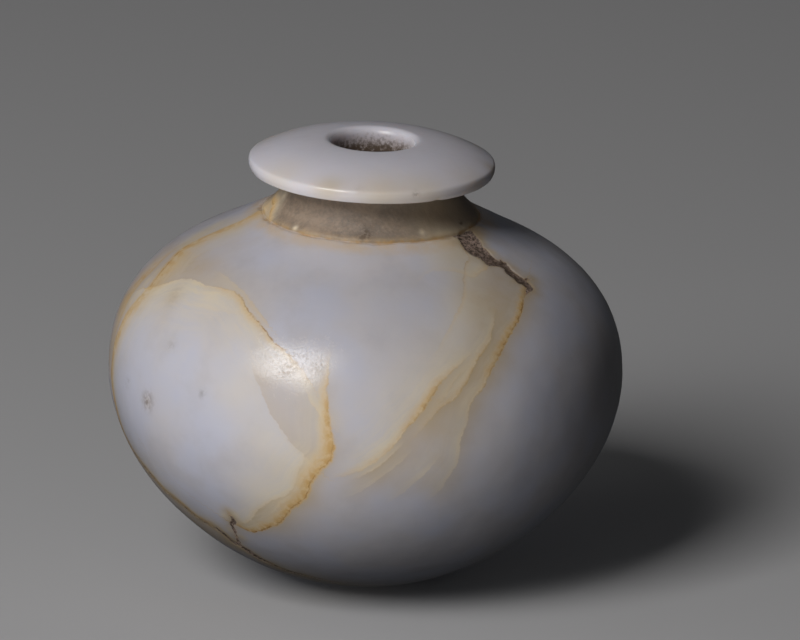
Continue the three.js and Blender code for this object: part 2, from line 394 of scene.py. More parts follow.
            (-84.5, 19), (-82.8, 18.4), (-79.4, 17), (-77.4, 15.8), (-76.3, 14.4), (-76.5, 12.9),
            (-77.7, 10.7), (-78.1, 9), (-78.5, 7.2), (-79.4, 5.3), (-80, 0), (-79, -5), (-78.3, -9.6)]},
    "shoulderTan": {
        "field": "fine", "veil": (0, 0, 0), "reach": (1, 1), "gold": (0.2, 0.55, 0.7, 0.7, 0.65, 0.5, 0.3),
        "width": (3, 5, 7, 7, 6, 4), "core": (0, 0.1, 0.1, 0, 0), "shade": (0.5, 0.9, 0.9, 0.7),
        "shadeReach": (1.5, 1.5),
        "path": [(-88.5, 18.2), (-86.6, 16.6), (-85.2, 14.9), (-84.8, 13.4), (-83.9, 11.1), (-82.2, 8.6),
            (-82.2, 5.8)]},
    "neckAmber": {
        "field": "right", "side": 1, "veil": (0.2, 0.7, 0.9, 0.6, 0.2), "reach": (1, 1.6, 1.6, 1),
        "gold": (0.3, 1, 1, 0.9, 0.4), "width": (1, 1.6, 2, 1.4, 0.8), "core": (0, 0.4, 0.7, 0.5, 0),
        "path": [(-96, 27.4), (-88, 26.9), (-80, 26.6), (-73, 25.9), (-66, 25.3)]},
    "lowerEdge": {
        "field": "inner", "side": 1, "veil": (0.2, 0.4, 0.6, 0.6, 0.5, 0.4), "reach": (1.5, 2, 2.4, 2, 1.6),
        "gold": (0.6, 1, 1, 1, 1, 0.8, 0.6, 0.4), "width": (1.6, 2.4, 2.4, 2.2, 2, 1.6),
        "core": (0.4, 0.9, 1, 0.9, 0.8, 0.5, 0.3), "shade": (0.2, 0.5, 0.6, 0.5), "shadeReach": (1.5, 1.5),
        "path": [(-79.5, 0), (-78.5, -6), (-78.3, -9.6), (-75.9, -11), (-73.8, -12.4), (-70.3, -13.5),
            (-65.6, -14.7), (-62.7, -16.2), (-59.1, -16.9), (-56.1, -17.7), (-53.3, -19.2), (-49.2, -19.9),
            (-46.3, -20.3), (-44.4, -21.9), (-42.2, -23.2), (-39.6, -24.6), (-36.3, -26.1), (-32, -27.5),
            (-23.4, -28.2)]},
    "backSeam": {
        "field": "outer", "side": 1, "veil": (0.6, 0.8, 0.6, 0.5, 0), "reach": (2, 3.5, 3, 2),
        "gold": (0.7, 0.6, 0.5, 0.3, 0.3, 0), "width": (1.4, 1.4, 1), "core": (0.5, 0.4, 0.2, 0),
        "shade": (0, 0.3, 0.3, 0), "shadeReach": (2, 2),
        "path": [(-78.3, -9.6), (-90, -6.4), (-99, -5.6), (-112, -1.6), (-121, 1.2), (-136, 7.4),
            (-150, 12), (-163, 14.2), (-179, 18.6), (-196, 21.4)]},
    "backBand": {
        "field": "right", "veil": (0, 0.7, 0.8, 0.7, 0), "reach": (2, 3, 3, 2),
        "gold": (0, 0.3, 0.5, 0.5, 0.3, 0), "width": (1, 1.4, 1), "core": (0, 0.2, 0.3, 0.1, 0),
        "shade": (0, 0.3, 0.3, 0), "shadeReach": (2, 2),
        "path": [(121, 22), (129, 17.4), (134, 12.6), (143, 8.2), (149, 2.6), (160, -2.4), (166, -8.8),
            (178, -13.4)]},
}

# Cracks filled with earth, through (degrees round, height, width in mm). "halo" is the golden stain beside
# them and "pale" how light their filling is, both spread along the length.
cracks = {
    "shoulderCrack": {
        "depth": 0.28, "halo": (1, 1, 0.9, 0.8, 1, 1),
        "pale": (1, 1, 0.85, 0.6, 0.4, 0.2, 0.12, 0.12, 0.2, 0.3),
        "path": [(62, 25.1, 0.5), (58.5, 24.9, 2.4), (55.2, 24.6, 4.2), (52.8, 24, 3.8), (52.2, 23.3, 3.4),
            (52.6, 22.7, 2.8), (53.4, 22.1, 2.6), (54.8, 21.7, 2.3), (55.9, 21.3, 1.8), (55.9, 20.8, 1.4),
            (55.7, 20.3, 1.2), (55.9, 19.8, 1.4), (56.6, 19.3, 1.2), (57, 18.9, 0.7), (57.1, 18.5, 0.05)]},
    "lowerCrack": {
        "depth": 0.35, "halo": (0.5, 0.7, 1, 1, 0.9, 0.7, 0.3),
        "pale": (0.2, 0.2, 0.2, 0.3, 0.4, 0.7, 1, 0.7, 0.4),
        "path": [(-78.5, -6, 0.05), (-78.3, -9.6, 0.25), (-75.9, -11, 0.3), (-73.8, -12.4, 0.35),
            (-70.3, -13.5, 0.3), (-65.6, -14.7, 0.25), (-62.7, -16.2, 0.2), (-59.1, -16.9, 0.2),
            (-56.1, -17.7, 0.25), (-53.3, -19.2, 0.25), (-49.2, -19.9, 0.25), (-46.3, -20.3, 0.3),
            (-45.1, -20.9, 0.35), (-44.4, -21.9, 0.5), (-43.8, -22.7, 0.7), (-42.2, -23.2, 0.9),
            (-40.5, -23.8, 1), (-39.6, -24.6, 0.8), (-38.6, -25.4, 0.9), (-36.3, -26.1, 0.7),
            (-34.2, -26.8, 0.5), (-32, -27.5, 0.35), (-27.5, -27.9, 0.25), (-23.4, -28.2, 0.2),
            (-16.3, -29, 0.12), (-8, -30, 0.02)]},
    "pit": {
        "depth": 0.2, "halo": (1, 0.8, 0.5), "pale": (0.6, 0.4, 0.8, 1, 1, 1),
        "path": [(-35.6, -15.9, 0.05), (-35.5, -16.6, 0.5), (-35.9, -17.2, 0.75), (-37.2, -17.9, 0.4),
            (-37.6, -19.1, 0.3), (-38.3, -19.9, 0.3), (-39.1, -20.9, 0.35), (-41, -22.6, 0.4)]},
    "pitSpur": {
        "depth": 0.1, "halo": (1, 1), "pale": (1, 1),
        "path": [(-36, -15.4, 0.02), (-35.8, -16, 0.1), (-35.7, -16.4, 0.2)]},
    "tipTwig": {
        "depth": 0.1, "halo": (1, 1), "pale": (0.6, 0.8),
        "path": [(57.9, 19.6, 0.3), (59.1, 19.6, 0.25), (60.8, 19.4, 0.03)]},
    "tipRoot": {
        "depth": 0.1, "halo": (1, 0.8), "pale": (0.6, 0.8),
        "path": [(56.3, 18.6, 0.3), (54.6, 18.6, 0.2), (52.4, 18.3, 0.03)]},
}

# Soft stains, with a few spots of painted light and shade among them, noted where they stand: degrees round,
# height, radius in mm, and how much cream, tan and brown they lay on. Zeros at the end are left out.
stainsAndPaintedLight = {
    "leftShoulder": [(-75, 18.3, 4, 0.1, 0.7), (-68, 18.8, 3, 0, 0.6), (-61, 19.3, 3, 0, 0.45),
        (-52, 19, 2.5, 0, 0.3), (-87, 19.4, 1.8, 0.7, 0.2), (-90, 20.6, 2.2, 0.75, 0.1),
        (-94, 21.9, 2, 0.6, 0.1), (-66, 22.5, 4, 0, 0.2), (-81, 23, 3.5, 0.5, 0.4),
        (-92, 17, 4.5, 0.1, 0.5), (-86, 10, 3.5, 0.1, 0.6), (-84, 3, 3.5, 0.1, 0.5),
        (-81.2, 16.1, 0.8, 0.7), (-80.6, 14.6, 0.9, 0.8), (-80.2, 13, 0.9, 0.8), (-80.6, 11.2, 0.9, 0.8),
        (-81, 9.4, 0.8, 0.6)],
    "lobe": [(-62.3, 15.4, 1.8, 0, 0.75, 0.06), (-60, 12.6, 2.4, 0, 0.15), (-56.5, 0.2, 1.3, 0, 0.3, 0.6),
        (-66.1, 1.2, 0.7, 0, 0, 0.3), (-39, 4.4, 0.6, 0, 0, 0.35), (-52, 9.6, 0.9, 0, 0.1, 0.2),
        (-30, 6, 4.5, 0.35), (-22, 0, 3.5, 0.25), (-19, -5, 3.5, 0.25), (-24, -9.5, 3.5, 0.3),
        (-11, -5.5, 2, 0, 0.35), (-14, -9, 2, 0, 0.4), (-9, -1.5, 1.8, 0, 0.3)],
    "rightShoulder": [(44, 23.8, 3.2, 0.6, 0.2), (38, 23.6, 3.6, 0.45, 0.1), (30, 23.4, 3.5, 0.3),
        (50, 20.6, 3, 0.1, 0.6), (44, 21.6, 1.8, 0.5, 0.1), (39, 21.3, 2, 0.45, 0.1), (34, 21.4, 2, 0.35),
        (36, 18.6, 3.8, 0.55, 0.1), (29, 17, 5, 0.55), (22, 13, 5, 0.3), (12, 8, 6, 0.25),
        (28, 20, 4, 0.25), (43, 19.3, 3.8, 0, 0.55), (47, 17.8, 2.6, 0.1, 0.7), (38, 17.2, 3.4, 0, 0.65),
        (40, 15.8, 2.2, 0, 0.6), (33, 14.8, 3.4, 0, 0.6), (29, 12.4, 3.2, 0, 0.6), (33, 12.2, 2.2, 0, 0.7),
        (24, 10, 3, 0, 0.6), (28.5, 9.6, 2.2, 0, 0.6), (20, 7, 3, 0, 0.5), (24, 5.4, 2.6, 0, 0.5),
        (14, 3.4, 3, 0, 0.5), (20, 1.5, 3.5, 0, 0.45), (9, -0.6, 3, 0, 0.45), (16, -3, 4, 0, 0.4),
        (3, -4.5, 3, 0, 0.4), (9, -6, 4, 0, 0.3), (18, -7, 3.5, 0, 0.3), (-2, -7, 3, 0, 0.25),
        (35, 19.5, 4, 0.1, 0.3)],
    "crackSide": [(57, 19.2, 1.5, 0.1, 0.55, 0.05), (60.5, 24, 0.9, 0.8, 0.3), (58.4, 22.8, 0.8, 0.8, 0.3),
        (62, 25.2, 0.9, 0.9, 0.2), (66, 25.6, 0.7, 0.9, 0.1), (52, 25.5, 0.8, 0.8, 0.1),
        (47, 25.4, 0.7, 0.7, 0.1), (64, 24.6, 1.6, 0, 0.4, 0.1)],
    # The neck's cream spots on the right are painted light where the rim shades it, and its brown spot on
    # the left is painted shade.
    "neck": [(35, 28, 3.6, 0.2, 0.3), (48, 28, 3.6, 0.4, 0.4), (60, 27.6, 3.6, 0.7, 0.4),
        (-60, 27, 3, 0, 0, 0.25)],
    "underside": [(-58, -21, 5, 0, 0.7), (-48, -23.5, 4, 0, 0.8, 0.05), (-38, -27, 4, 0, 0.55, 0.1),
        (-25, -29, 4.5, 0, 0.5, 0.05), (-70, -17, 4.5, 0, 0.4), (-10, -30, 5, 0, 0.45, 0.05),
        (10, -31, 6, 0, 0.35), (-46, -19.3, 2, 0, 0.5), (-34.2, -15.6, 0.9, 0.8, 0.1),
        (-37.8, -16.4, 0.9, 0.8, 0.1), (-39.6, -19.4, 0.8, 0.7, 0.1), (-36.4, -20.4, 0.8, 0.7, 0.1)],
    "shoulderSpeck": [(50.4, 22.3, 0.7, 0, 0.6, 0.6)],
    "neckFoot": [(-79, 26.6, 2, 0.4, 0.9), (-70, 25.6, 1.3, 0.3, 0.8), (-88, 26, 2.5, 0.3, 0.8),
        (-74, 28.5, 0.7, 0.8), (-5, 25.9, 0.8, 0, 0, 0.6), (-1.7, 26.3, 0.8, 0, 0, 1),
        (-3.2, 26.9, 0.6, 0, 0, 0.8), (60, 26.3, 0.5, 0, 0, 0.9), (-44.6, 25.7, 0.45, 1),
        # The cream spot at 32.5 degrees and 31.95 mm is a painted glint at the nick under the rim.
        (29.4, 26.3, 0.45, 1), (32.5, 31.95, 0.5, 0.8), (63.5, 25.4, 0.4, 0.9), (58.8, 25.7, 0.35, 0.8),
        (40, 26, 0.9, 0.5), (70, 25.1, 0.6, 1), (67.5, 25.3, 0.4, 1)],
    "rim": [(-22, 33.2, 3, 0.45, 0.1), (4, 33, 4.5, 0.6, 0.2), (26, 33, 4, 0.5, 0.1), (-50, 33, 4.5, 0.45),
        (55, 33.2, 4, 0.25, 0.1), (80, 33.4, 2, 0.1, 0.4, 0.05), (-20, 34.8, 2.2, 0.25, 0.3),
        (20.9, 33.4, 0.45, 0, 0, 0.7), (-6, 34.6, 0.8, 0, 0.2, 0.25)],
    "back": [(130, 16, 6, 0.2, 0.4), (170, 6, 8, 0.3, 0.3), (-140, 12, 7, 0.2, 0.4),
        (-115, 0, 5, 0.2, 0.35), (95, -16, 6, 0.1, 0.3), (-170, -14, 7, 0.2, 0.2), (150, 26.5, 3, 0.1, 0.6),
        (-140, 26.2, 3, 0.2, 0.5), (120, 33, 5, 0.3, 0.1), (-120, 33, 5, 0.4, 0.1)],
}

# Scuffed places in the highlight: degrees round, height, radius and amount.
worn = [(-13, 11.8, 3.6, 1.0), (-19, 9.8, 3.4, 0.7), (-25, 12.0, 3.0, 0.5)]


def onSurface(degrees, height):  # place in the jar's own axes, mm
    angle = np.radians(degrees)
    radius = outerRadius(height)
    return np.column_stack([radius * np.sin(angle), -radius * np.cos(angle), height])


def smoothPath(points, gap):  # Catmull-Rom through the points, then evenly spaced over the surface
    points = np.array(points, dtype=float)
    ends = np.vstack([2 * points[0] - points[1], points, 2 * points[-1] - points[-2]])
    t = np.linspace(0, 1, 12, endpoint=False)[:, None]
    pieces = []
    for a, b, c, d in zip(ends, ends[1:], ends[2:], ends[3:]):
        square, cube = 2 * a - 5 * b + 4 * c - d, 3 * b - a - 3 * c + d
        pieces.append(0.5 * (2 * b + (c - a) * t + square * t ** 2 + cube * t ** 3))
    curve = np.vstack(pieces + [points[-1:]])
    where = onSurface(curve[:, 0], curve[:, 1])
    along = np.concatenate([[0], np.cumsum(np.linalg.norm(np.diff(where, axis=0), axis=1))])
    even = np.linspace(0, along[-1], max(3, round(along[-1] / gap)))
    return np.column_stack([np.interp(even, along, curve[:, i]) for i in range(curve.shape[1])])


def nearest(places, normals, line):  # signed distance to a line and how far along it each place is, 0 to 1
    first, step = line[:-1], np.diff(line, axis=0)
    lengths = np.maximum((step ** 2).sum(1), 1e-12)
    distance, along = np.empty(len(places)), np.empty(len(places))
    batch = 4000  # places at a time, which keeps the tables small
    for start in range(0, len(places), batch):
        some = places[start:start + batch]
        gap = some[:, None, :] - first[None]
        share = np.clip((gap * step).sum(2) / lengths, 0, 1)
        away = gap - share[..., None] * step
        far = (away ** 2).sum(2)
        best = far.argmin(1)
        pick = np.arange(len(some))
        side = (np.cross(step[best], away[pick, best]) * normals[start:start + batch]).sum(1)
        distance[start:start + batch] = np.sqrt(far[pick, best]) * np.where(side < 0, -1, 1)
        along[start:start + batch] = (best + share[pick, best]) / len(first)
    return distance, along


def besidePath(path, margin, places, normals, where):  # which places are near it, and the same two measures
    line = onSurface(path[:, 0], path[:, 1])
    near = where & ((places > line.min(0) - margin) & (places < line.max(0) + margin)).all(1)
    return near, *nearest(places[near], normals[near], line)


def spreadAlong(values, along):
    return np.interp(along, np.linspace(0, 1, len(values)), values)


def smooth(values):
    values = np.clip(values, 0, 1)
    return values * values * (3 - 2 * values)


def roughCloud(places, size, seed):  # noise of about 0 to 1 with features of that size in mm
    shift = Vector((seed * 7.3, seed * 3.1, seed * 5.7))
    return np.array([0.5 + noise.noise(Vector(p) / size + shift) for p in places])


def keepOnPoints(mesh, name, values):  # as an attribute, which the stone's material reads
    kind, slot = ("FLOAT_VECTOR", "vector") if values.shape[1] == 3 else ("FLOAT", "value")
    mesh.attributes.new(name, kind, "POINT").data.foreach_set(slot, values.ravel())


def jarPlaces(mesh):  # every vertex in the jar's own axes in mm, its normal there, its outline row, the axes
    count = len(mesh.vertices)
    raw, normals, rows = np.empty(count * 3), np.empty(count * 3), np.empty(count)
    mesh.vertices.foreach_get("co", raw)
    mesh.vertex_normals.foreach_get("vector", normals)
    mesh.attributes["row"].data.foreach_get("value", rows)
    lean = math.radians(jar["lean"])
    axes = np.array([[math.cos(lean), 0, -math.sin(lean)], [0, 1, 0], [math.sin(lean), 0, math.cos(lean)]])
    places = (raw.reshape(-1, 3) / mm - (0, 0, jar["bellyHeight"])) @ axes.T
    return places, normals.reshape(-1, 3) @ axes.T, np.rint(rows).astype(int), axes


def layVeins(mesh, places, normals, where):  # two attributes for each field, of the nearest vein in it
    fields = {vein["field"]: np.tile([99.0, 0, 0, 1, 0, 0], (len(places), 1)) for vein in veins.values()}
    distances = {}
    for name, vein in veins.items():
        values = fields[vein["field"]]
        margin = 3 * max(vein["reach"] + vein.get("shadeReach", (0,))) + 3
        near, distance, along = besidePath(smoothPath(vein["path"], 0.25), margin, places, normals, where)
        distance *= vein.get("side", -1)
        distances[name] = np.full(len(places), -99.0)
        distances[name][near] = distance
        better = np.abs(distance) < np.abs(values[near, 0])
        spots, distance, along = np.flatnonzero(near)[better], distance[better], along[better]
        reach, shadeReach, gold, width = (
            spreadAlong(vein.get(key, (1, 1)), along) for key in ("reach", "shadeReach", "gold", "width"))
        veil, shade, core = (spreadAlong(vein.get(key, (0, 0)), along) for key in ("veil", "shade", "core"))
        veil = veil * np.exp(-np.abs(distance) / reach)
        shade = shade * np.exp(-np.abs(distance) / shadeReach)
        if "within" in vein:  # no shade outside that other vein
            shade *= smooth(0.4 + distances[vein["within"]][spots] / 0.8)
        values[spots] = np.column_stack([distance, gold, veil, width, core, shade])
    for field, values in fields.items():
        keepOnPoints(mesh, field, values[:, :3])
        keepOnPoints(mesh, field + "Line", values[:, 3:])


def layCracks(mesh, places, normals, where):  # distance outside the crack's edge, halo and paleness
    edge, halo, pale, cut = (np.full(len(places), value) for value in (9.0, 0.0, 0.0, 0.0))
    for crack in cracks.values():
        path = smoothPath(crack["path"], 0.15)
        near, distance, along = besidePath(path, 7, places, normals, where)
        width = spreadAlong(path[:, 2], along)  # its edge is ragged in small and in large
        small, large = (roughCloud(places[near], size, seed) - 0.5 for size, seed in ((0.55, 3), (1.7, 7)))
        gap = np.abs(distance) - width / 2 + (0.3 * small + 0.8 * large) * np.minimum(1, width)
        spots = np.flatnonzero(near)
        better = gap < edge[near]
        edge[spots[better]] = gap[better]
        pale[spots[better]] = spreadAlong(crack["pale"], along)[better]
        glow = spreadAlong(crack["halo"], along) * np.exp(-(np.maximum(gap, 0) / 1.4) ** 2)
        halo[spots] = np.maximum(halo[spots], glow)
        depth = crack["depth"] * smooth(0.3 - gap / 0.5) * smooth(width / 0.5)
        cut[spots] = np.maximum(cut[spots], depth)
    keepOnPoints(mesh, "cracks", np.column_stack([edge, halo, pale]))
    return cut


def spotPlace(degrees, height):  # on the body and neck, or else on the rim
    angle = math.radians(degrees)
    radius = float(outerRadius(height)) if height < jar["neckWaistHeight"] else jar["rimRadius"]
    return radius * math.sin(angle), -radius * math.cos(angle), height


def laySpots(spots, kinds, places, outside):  # how much of each kind lies on every point
    values = np.zeros((len(places), kinds))
    for degrees, height, radius, *amounts in spots:
        middle = np.array([spotPlace(degrees, height)])
        near = np.flatnonzero(outside & (np.abs(places - middle) < 2.2 * radius).all(1))
        share = np.exp(-((places[near] - middle) ** 2).sum(1) / radius ** 2)
        amounts = np.array(amounts + [0] * (kinds - len(amounts)))
        values[near] = 1 - (1 - values[near]) * (1 - share[:, None] * amounts)
    return values


# What the hand left: a wavy surface, an uneven scribed line, a nick, and a disc not quite in the middle.
handMarks = {
    "waviness": 0.12,        # mm, always inwards
    "neckWaviness": 0.8,     # share of it on the neck
    "rimWaviness": 0.35,     # share of it on the rim and lip
    "lineRise": 0.05,        # of the scribed line above the neck's foot
    "lineWidth": 0.17,
    "lineDepth": 0.22,
    "nickAt": (32.5, 31.9),  # degrees round and height
    "nickReach": (2.2, 0.5),
    "nickDepth": 0.14,
    "footHeight": 2.5,       # nearer the table less is cut, so that the jar stands true
    "footShare": 0.2,
    "rimShift": 0.17,        # towards -X
    "shiftStart": 28.5,      # height where the shift begins
}


def handCut(places, zones, outside, aboveLine, crackCut):  # how deep the hand cut at every point, mm
    lineDepth = handMarks["lineDepth"] + 0.1 * roughCloud(places, 2.5, 4)
    lineDepth = np.where(np.isin(zones, ["body", "neck"]), lineDepth, 0)
    line = np.exp(-(aboveLine / handMarks["lineWidth"]) ** 2) * lineDepth
    waves = np.clip(roughCloud(places, 11, 5) + 0.25 * roughCloud(places, 4, 6) - 0.15, 0, 1)
    share = np.where(zones == "neck", handMarks["neckWaviness"], handMarks["rimWaviness"])
    waves = handMarks["waviness"] * waves * np.where(zones == "body", 1, share) * outside
    turn, rise = handMarks["nickAt"]
    turned = (np.degrees(np.arctan2(places[:, 0], -places[:, 1])) - turn) / handMarks["nickReach"][0]
    raised = (places[:, 2] - rise) / handMarks["nickReach"][1]
    nick = np.exp(-turned ** 2 - raised ** 2) * handMarks["nickDepth"] * (zones == "rim")
    return waves + (line + crackCut + nick)


def sculptJar(piece):
    mesh = piece.data
    places, normals, rows, axes = jarPlaces(mesh)
    zones = rowZones[np.clip(rows, 0, len(rowZones) - 1)]
    outside = np.isin(zones, ["body", "neck", "rim", "lip"])
    inner = np.isin(zones, ["bore", "hollow"])
    belowRim = np.isin(zones, ["body", "neck"])
    layVeins(mesh, places, normals, belowRim)
    crackCut = layCracks(mesh, places, normals, zones == "body")
    keepOnPoints(mesh, "stainsAndPaintedLight", laySpots(sum(stainsAndPaintedLight.values(), []), 3, places, outside))
    keepOnPoints(mesh, "worn", laySpots(worn, 1, places, outside))
    print("veins, cracks and stains laid on", len(places), "points")

    height = places[:, 2]
    wobble = 0.16 * (roughCloud(places, 4.0, 1) - 0.5) + 0.1 * (roughCloud(places, 1.3, 2) - 0.5)
    aboveLine = height - footHeight - handMarks["lineRise"] - wobble
    inward = handCut(places, zones, outside, aboveLine, crackCut)
    standing = (height + jar["bellyHeight"] < handMarks["footHeight"]) & (zones == "body")
    inward[standing] *= handMarks["footShare"]
    # The lip and bore darken the deeper they go: partly their dirt, partly painted shade of the recess.
    lipDirtAndShade = (zones == "lip") * smooth((37 - height) / 1.2) * 0.25  # less than in the bore
    dirtAndShade = np.where(inner, 0.25 + 0.75 * smooth((36.2 - height) / 2.6), lipDirtAndShade)
    lineGap = np.where(belowRim, np.clip(aboveLine, -9, 9), 9)
    keepOnPoints(mesh, "marks", np.column_stack([np.where(zones == "neck", 1.0, 0.0), dirtAndShade, lineGap]))

    places = places - normals * inward[:, None]
    shift = handMarks["rimShift"] * smooth((height - handMarks["shiftStart"]) / 2.5)
    places[:, 0] -= shift * (outside | inner)
    world = (places @ axes + (0, 0, jar["bellyHeight"])) * mm
    world[:, 2] = np.maximum(world[:, 2], 0)
    mesh.vertices.foreach_set("co", world.ravel())
    mesh.attributes.remove(mesh.attributes["row"])
    mesh.polygons.foreach_set("use_smooth", np.ones(len(mesh.polygons), bool))
    mesh.update()


# The stone. Colours are linear.
stoneColours = {
    "milk": (0.565, 0.57, 0.66, 1),
    "milkWarm": (0.60, 0.575, 0.60, 1),
    "milkShadow": (0.47, 0.46, 0.51, 1),
    # rim: the rim's whiter stone, painted lighter still for the light that shines through the thin rim.
    "rim": (0.75, 0.73, 0.80, 1),
    "cream": (0.76, 0.665, 0.51, 1),
    "gold": (0.69, 0.48, 0.225, 1),
    "amber": (0.55, 0.32, 0.11, 1),
    "rust": (0.34, 0.19, 0.075, 1),
    "tan": (0.53, 0.41, 0.265, 1),
    # neck: the neck's brownish stone, painted darker still as shade under the rim.
    "neck": (0.32, 0.235, 0.16, 1),
    "neckDark": (0.20, 0.15, 0.105, 1),
    "earth": (0.065, 0.04, 0.025, 1),
    "earthPale": (0.64, 0.48, 0.40, 1),
    # The bore's dull colour and the grime darken the bore the deeper it goes: painted shade with its dirt.
    # The grime also browns the stains.
    "boreDullAndShaded": (0.45, 0.365, 0.32, 1),
    "grimeAndShade": (0.10, 0.065, 0.04, 1),
}

# Its polish, what scuffs and dirt add to the roughness, and how deep in mm the light goes into it.
stoneFinish = {
    "roughness": 0.22,
    "unevenness": 0.03,
    "scuffed": 0.3,
    "dull": 0.45,
    "subsurface": 0.55,
    "scatterDepth": 2.6,
    "ior": 1.57,
}


def fade(value, low, high):  # 0 at low and 1 at high, softly between
    return addNode(value.id_data, "ShaderNodeMapRange", {
        "Value": value, "From Min": low, "From Max": high}, interpolation_type="SMOOTHSTEP").outputs[0]


def cloud(place, size, detail=3.0, low=0.35, high=0.65, roughness=0.55):  # size in mm
    noiseNode = addNode(place.id_data, "ShaderNodeTexNoise", {
        "Vector": place, "Scale": 10 / size, "Detail": detail, "Roughness": roughness})
    return fade(noiseNode.outputs[0], low, high)


def centredCloud(place, size):  # -0.5 to 0.5
    return calc("SUBTRACT", cloud(place, size, 3, 0.0, 1.0), 0.5)


def blendColour(share, first, second):
    node = addNode(share.id_data, "ShaderNodeMix", {0: share, 6: first, 7: second}, data_type="RGBA")
    return node.outputs[2]


def tint(colour, share, name):
    return blendColour(share, colour, stoneColours[name])


def fieldOf(tree, name):
    vector = addNode(tree, "ShaderNodeAttribute", attribute_name=name).outputs["Vector"]
    return addNode(tree, "ShaderNodeSeparateXYZ", {0: vector}).outputs


# One field of veins: a pale veil fading away on one side, duller stone on the other, a golden band with
# amber crumbs in it, and a thin broken brown core.
def veinGroup():
    tree = bpy.data.node_groups.new("vein", "ShaderNodeTree")
    given = addInputs(tree, Color=["Colour"], Vector=["Place"], Float=[
        "Distance", "Gold", "Veil", "Width", "Core", "Shade", "Wander", "Crumb", "Grain"])
    tree.interface.new_socket(name="Colour", in_out="OUTPUT", socket_type="NodeSocketColor")
    distance = plus(given["Distance"], given["Wander"])
    side = fade(distance, -0.1, 0.14)
    across = addNode(tree, "ShaderNodeCombineXYZ", {"Z": times(distance, 0.34)}).outputs[0]
    along = addNode(tree, "ShaderNodeVectorMath", {
        0: given["Place"], 1: (0.5, 0.5, 0.5)}, operation="MULTIPLY").outputs[0]
    along = addNode(tree, "ShaderNodeVectorMath", {0: along, 1: across}, operation="ADD").outputs[0]
    streak = scaled(cloud(along, 2.2, 4, 0.3, 0.68), 0.6, 0.6)
    veil = times(times(side, given["Veil"]), streak, clamp=True)
    shade = times(calc("SUBTRACT", 1.0, side), times(given["Shade"], 0.9))
    colour = tint(given["Colour"], shade, "tan")
    colour = tint(colour, veil, "cream")

    width = calc("MAXIMUM", given["Width"], 0.1)
    crumbled = plus(distance, times(given["Crumb"], 0.35))
    outer = times(width, -0.2)  # the glow is five times narrower beyond the line
    spread = calc("MAXIMUM", calc("DIVIDE", crumbled, width), calc("DIVIDE", crumbled, outer))
    near = calc("POWER", fade(spread, 1.2, 0.0), 1.5)
    grainy = scaled(given["Grain"], 0.35, 0.7)
    glow = times(near, times(given["Gold"], grainy), clamp=True)
    colour = tint(colour, glow, "gold")
    amber = times(fade(spread, 0.5, 0.1), calc("POWER", given["Gold"], 2.0))
    clump = fade(plus(given["Grain"], given["Crumb"]), 0.1, 1.0)
    colour = tint(colour, times(amber, times(clump, 0.5)), "amber")
    away = calc("ABSOLUTE", plus(distance, times(given["Crumb"], 0.2)))
    core = times(fade(away, 0.2, 0.03), times(given["Core"], given["Grain"]))
    colour = tint(colour, core, "rust")
    addNode(tree, "NodeGroupOutput", {"Colour": colour})
    return tree


def groundColour(place, marks, stainedAndPaintedLight, patchy, crumb):  # milky stone, a rim painted lighter for light through it, a brownish neck painted darker as shade under the rim, soft stains
    colour = blendColour(cloud(place, 14, 2), stoneColours["milk"], stoneColours["milkWarm"])
    shadow = times(cloud(place, 7, 4, 0.45, 0.75), 0.4)
    colour = tint(colour, shadow, "milkShadow")
    # The rim: whiter stone, painted lighter still for the light that shines through it.
    colour = tint(colour, fade(marks["Z"], 6.0, 8.0), "rim")
    speckled = plus(times(crumb, 1.6), cloud(place, 3.5, 4, 0.3, 0.7))
    # The neck's brown stone, darkened further as painted shade under the rim.
    neckTone = blendColour(speckled, stoneColours["neckDark"], stoneColours["neck"])
    colour = blendColour(times(marks["X"], 0.92), colour, neckTone)
    colour = tint(colour, stainedAndPaintedLight["X"], "cream")
    tan = times(stainedAndPaintedLight["Y"], scaled(patchy, 0.3, 0.7))
    return tint(colour, tan, "tan")


def veinedColour(tree, colour, shared):  # each field of veins over the ones before
    group = veinGroup()
    for name in ("facet", "fine", "seam", "outer", "middle", "inner", "lobe", "right"):
        field, line = fieldOf(tree, name), fieldOf(tree, name + "Line")
        vein = addNode(tree, "ShaderNodeGroup", node_tree=group)
        given = {"Colour": colour, "Distance": field["X"], "Gold": field["Y"], "Veil": field["Z"],
                 "Width": line["X"], "Core": line["Y"], "Shade": line["Z"], **shared}
        for key, value in given.items():
            plug(tree, vein.inputs[key], value)
        colour = vein.outputs["Colour"]
    return colour


def footLineColour(colour, marks, patchy, grain, waver):  # the golden line scribed at the neck's foot
    foot = plus(marks["Z"], times(waver, 0.3))
    warmth = times(fade(calc("ABSOLUTE", plus(foot, 0.4)), 1.3, 0.1),
                   scaled(patchy, 0.35, 0.12))
    colour = tint(colour, warmth, "gold")
    broken = times(patchy, scaled(grain, 0.6, 0.15))
    line = times(fade(calc("ABSOLUTE", foot), 0.24, 0.03), broken)
    return tint(colour, line, "amber")


def crackedColour(colour, place, crack, patchy, grain, waver):  # golden sides and a gritty filling
    halo = times(crack["Y"], scaled(patchy, 0.5, 0.35), clamp=True)
    colour = tint(colour, halo, "tan")
    edge = plus(crack["X"], times(waver, 0.35))
    rust = times(fade(calc("ABSOLUTE", edge), 0.35, 0.05), 0.6)
    colour = tint(colour, times(rust, grain), "amber")
    speck = times(cloud(place, 0.55, 4, 0.36, 0.68, 0.75),
                  scaled(crack["Z"], 0.85, 0.15))
    filling = blendColour(speck, stoneColours["earth"], stoneColours["earthPale"])
    inside = fade(edge, 0.22, 0.02)
    return blendColour(inside, colour, filling), inside, speck


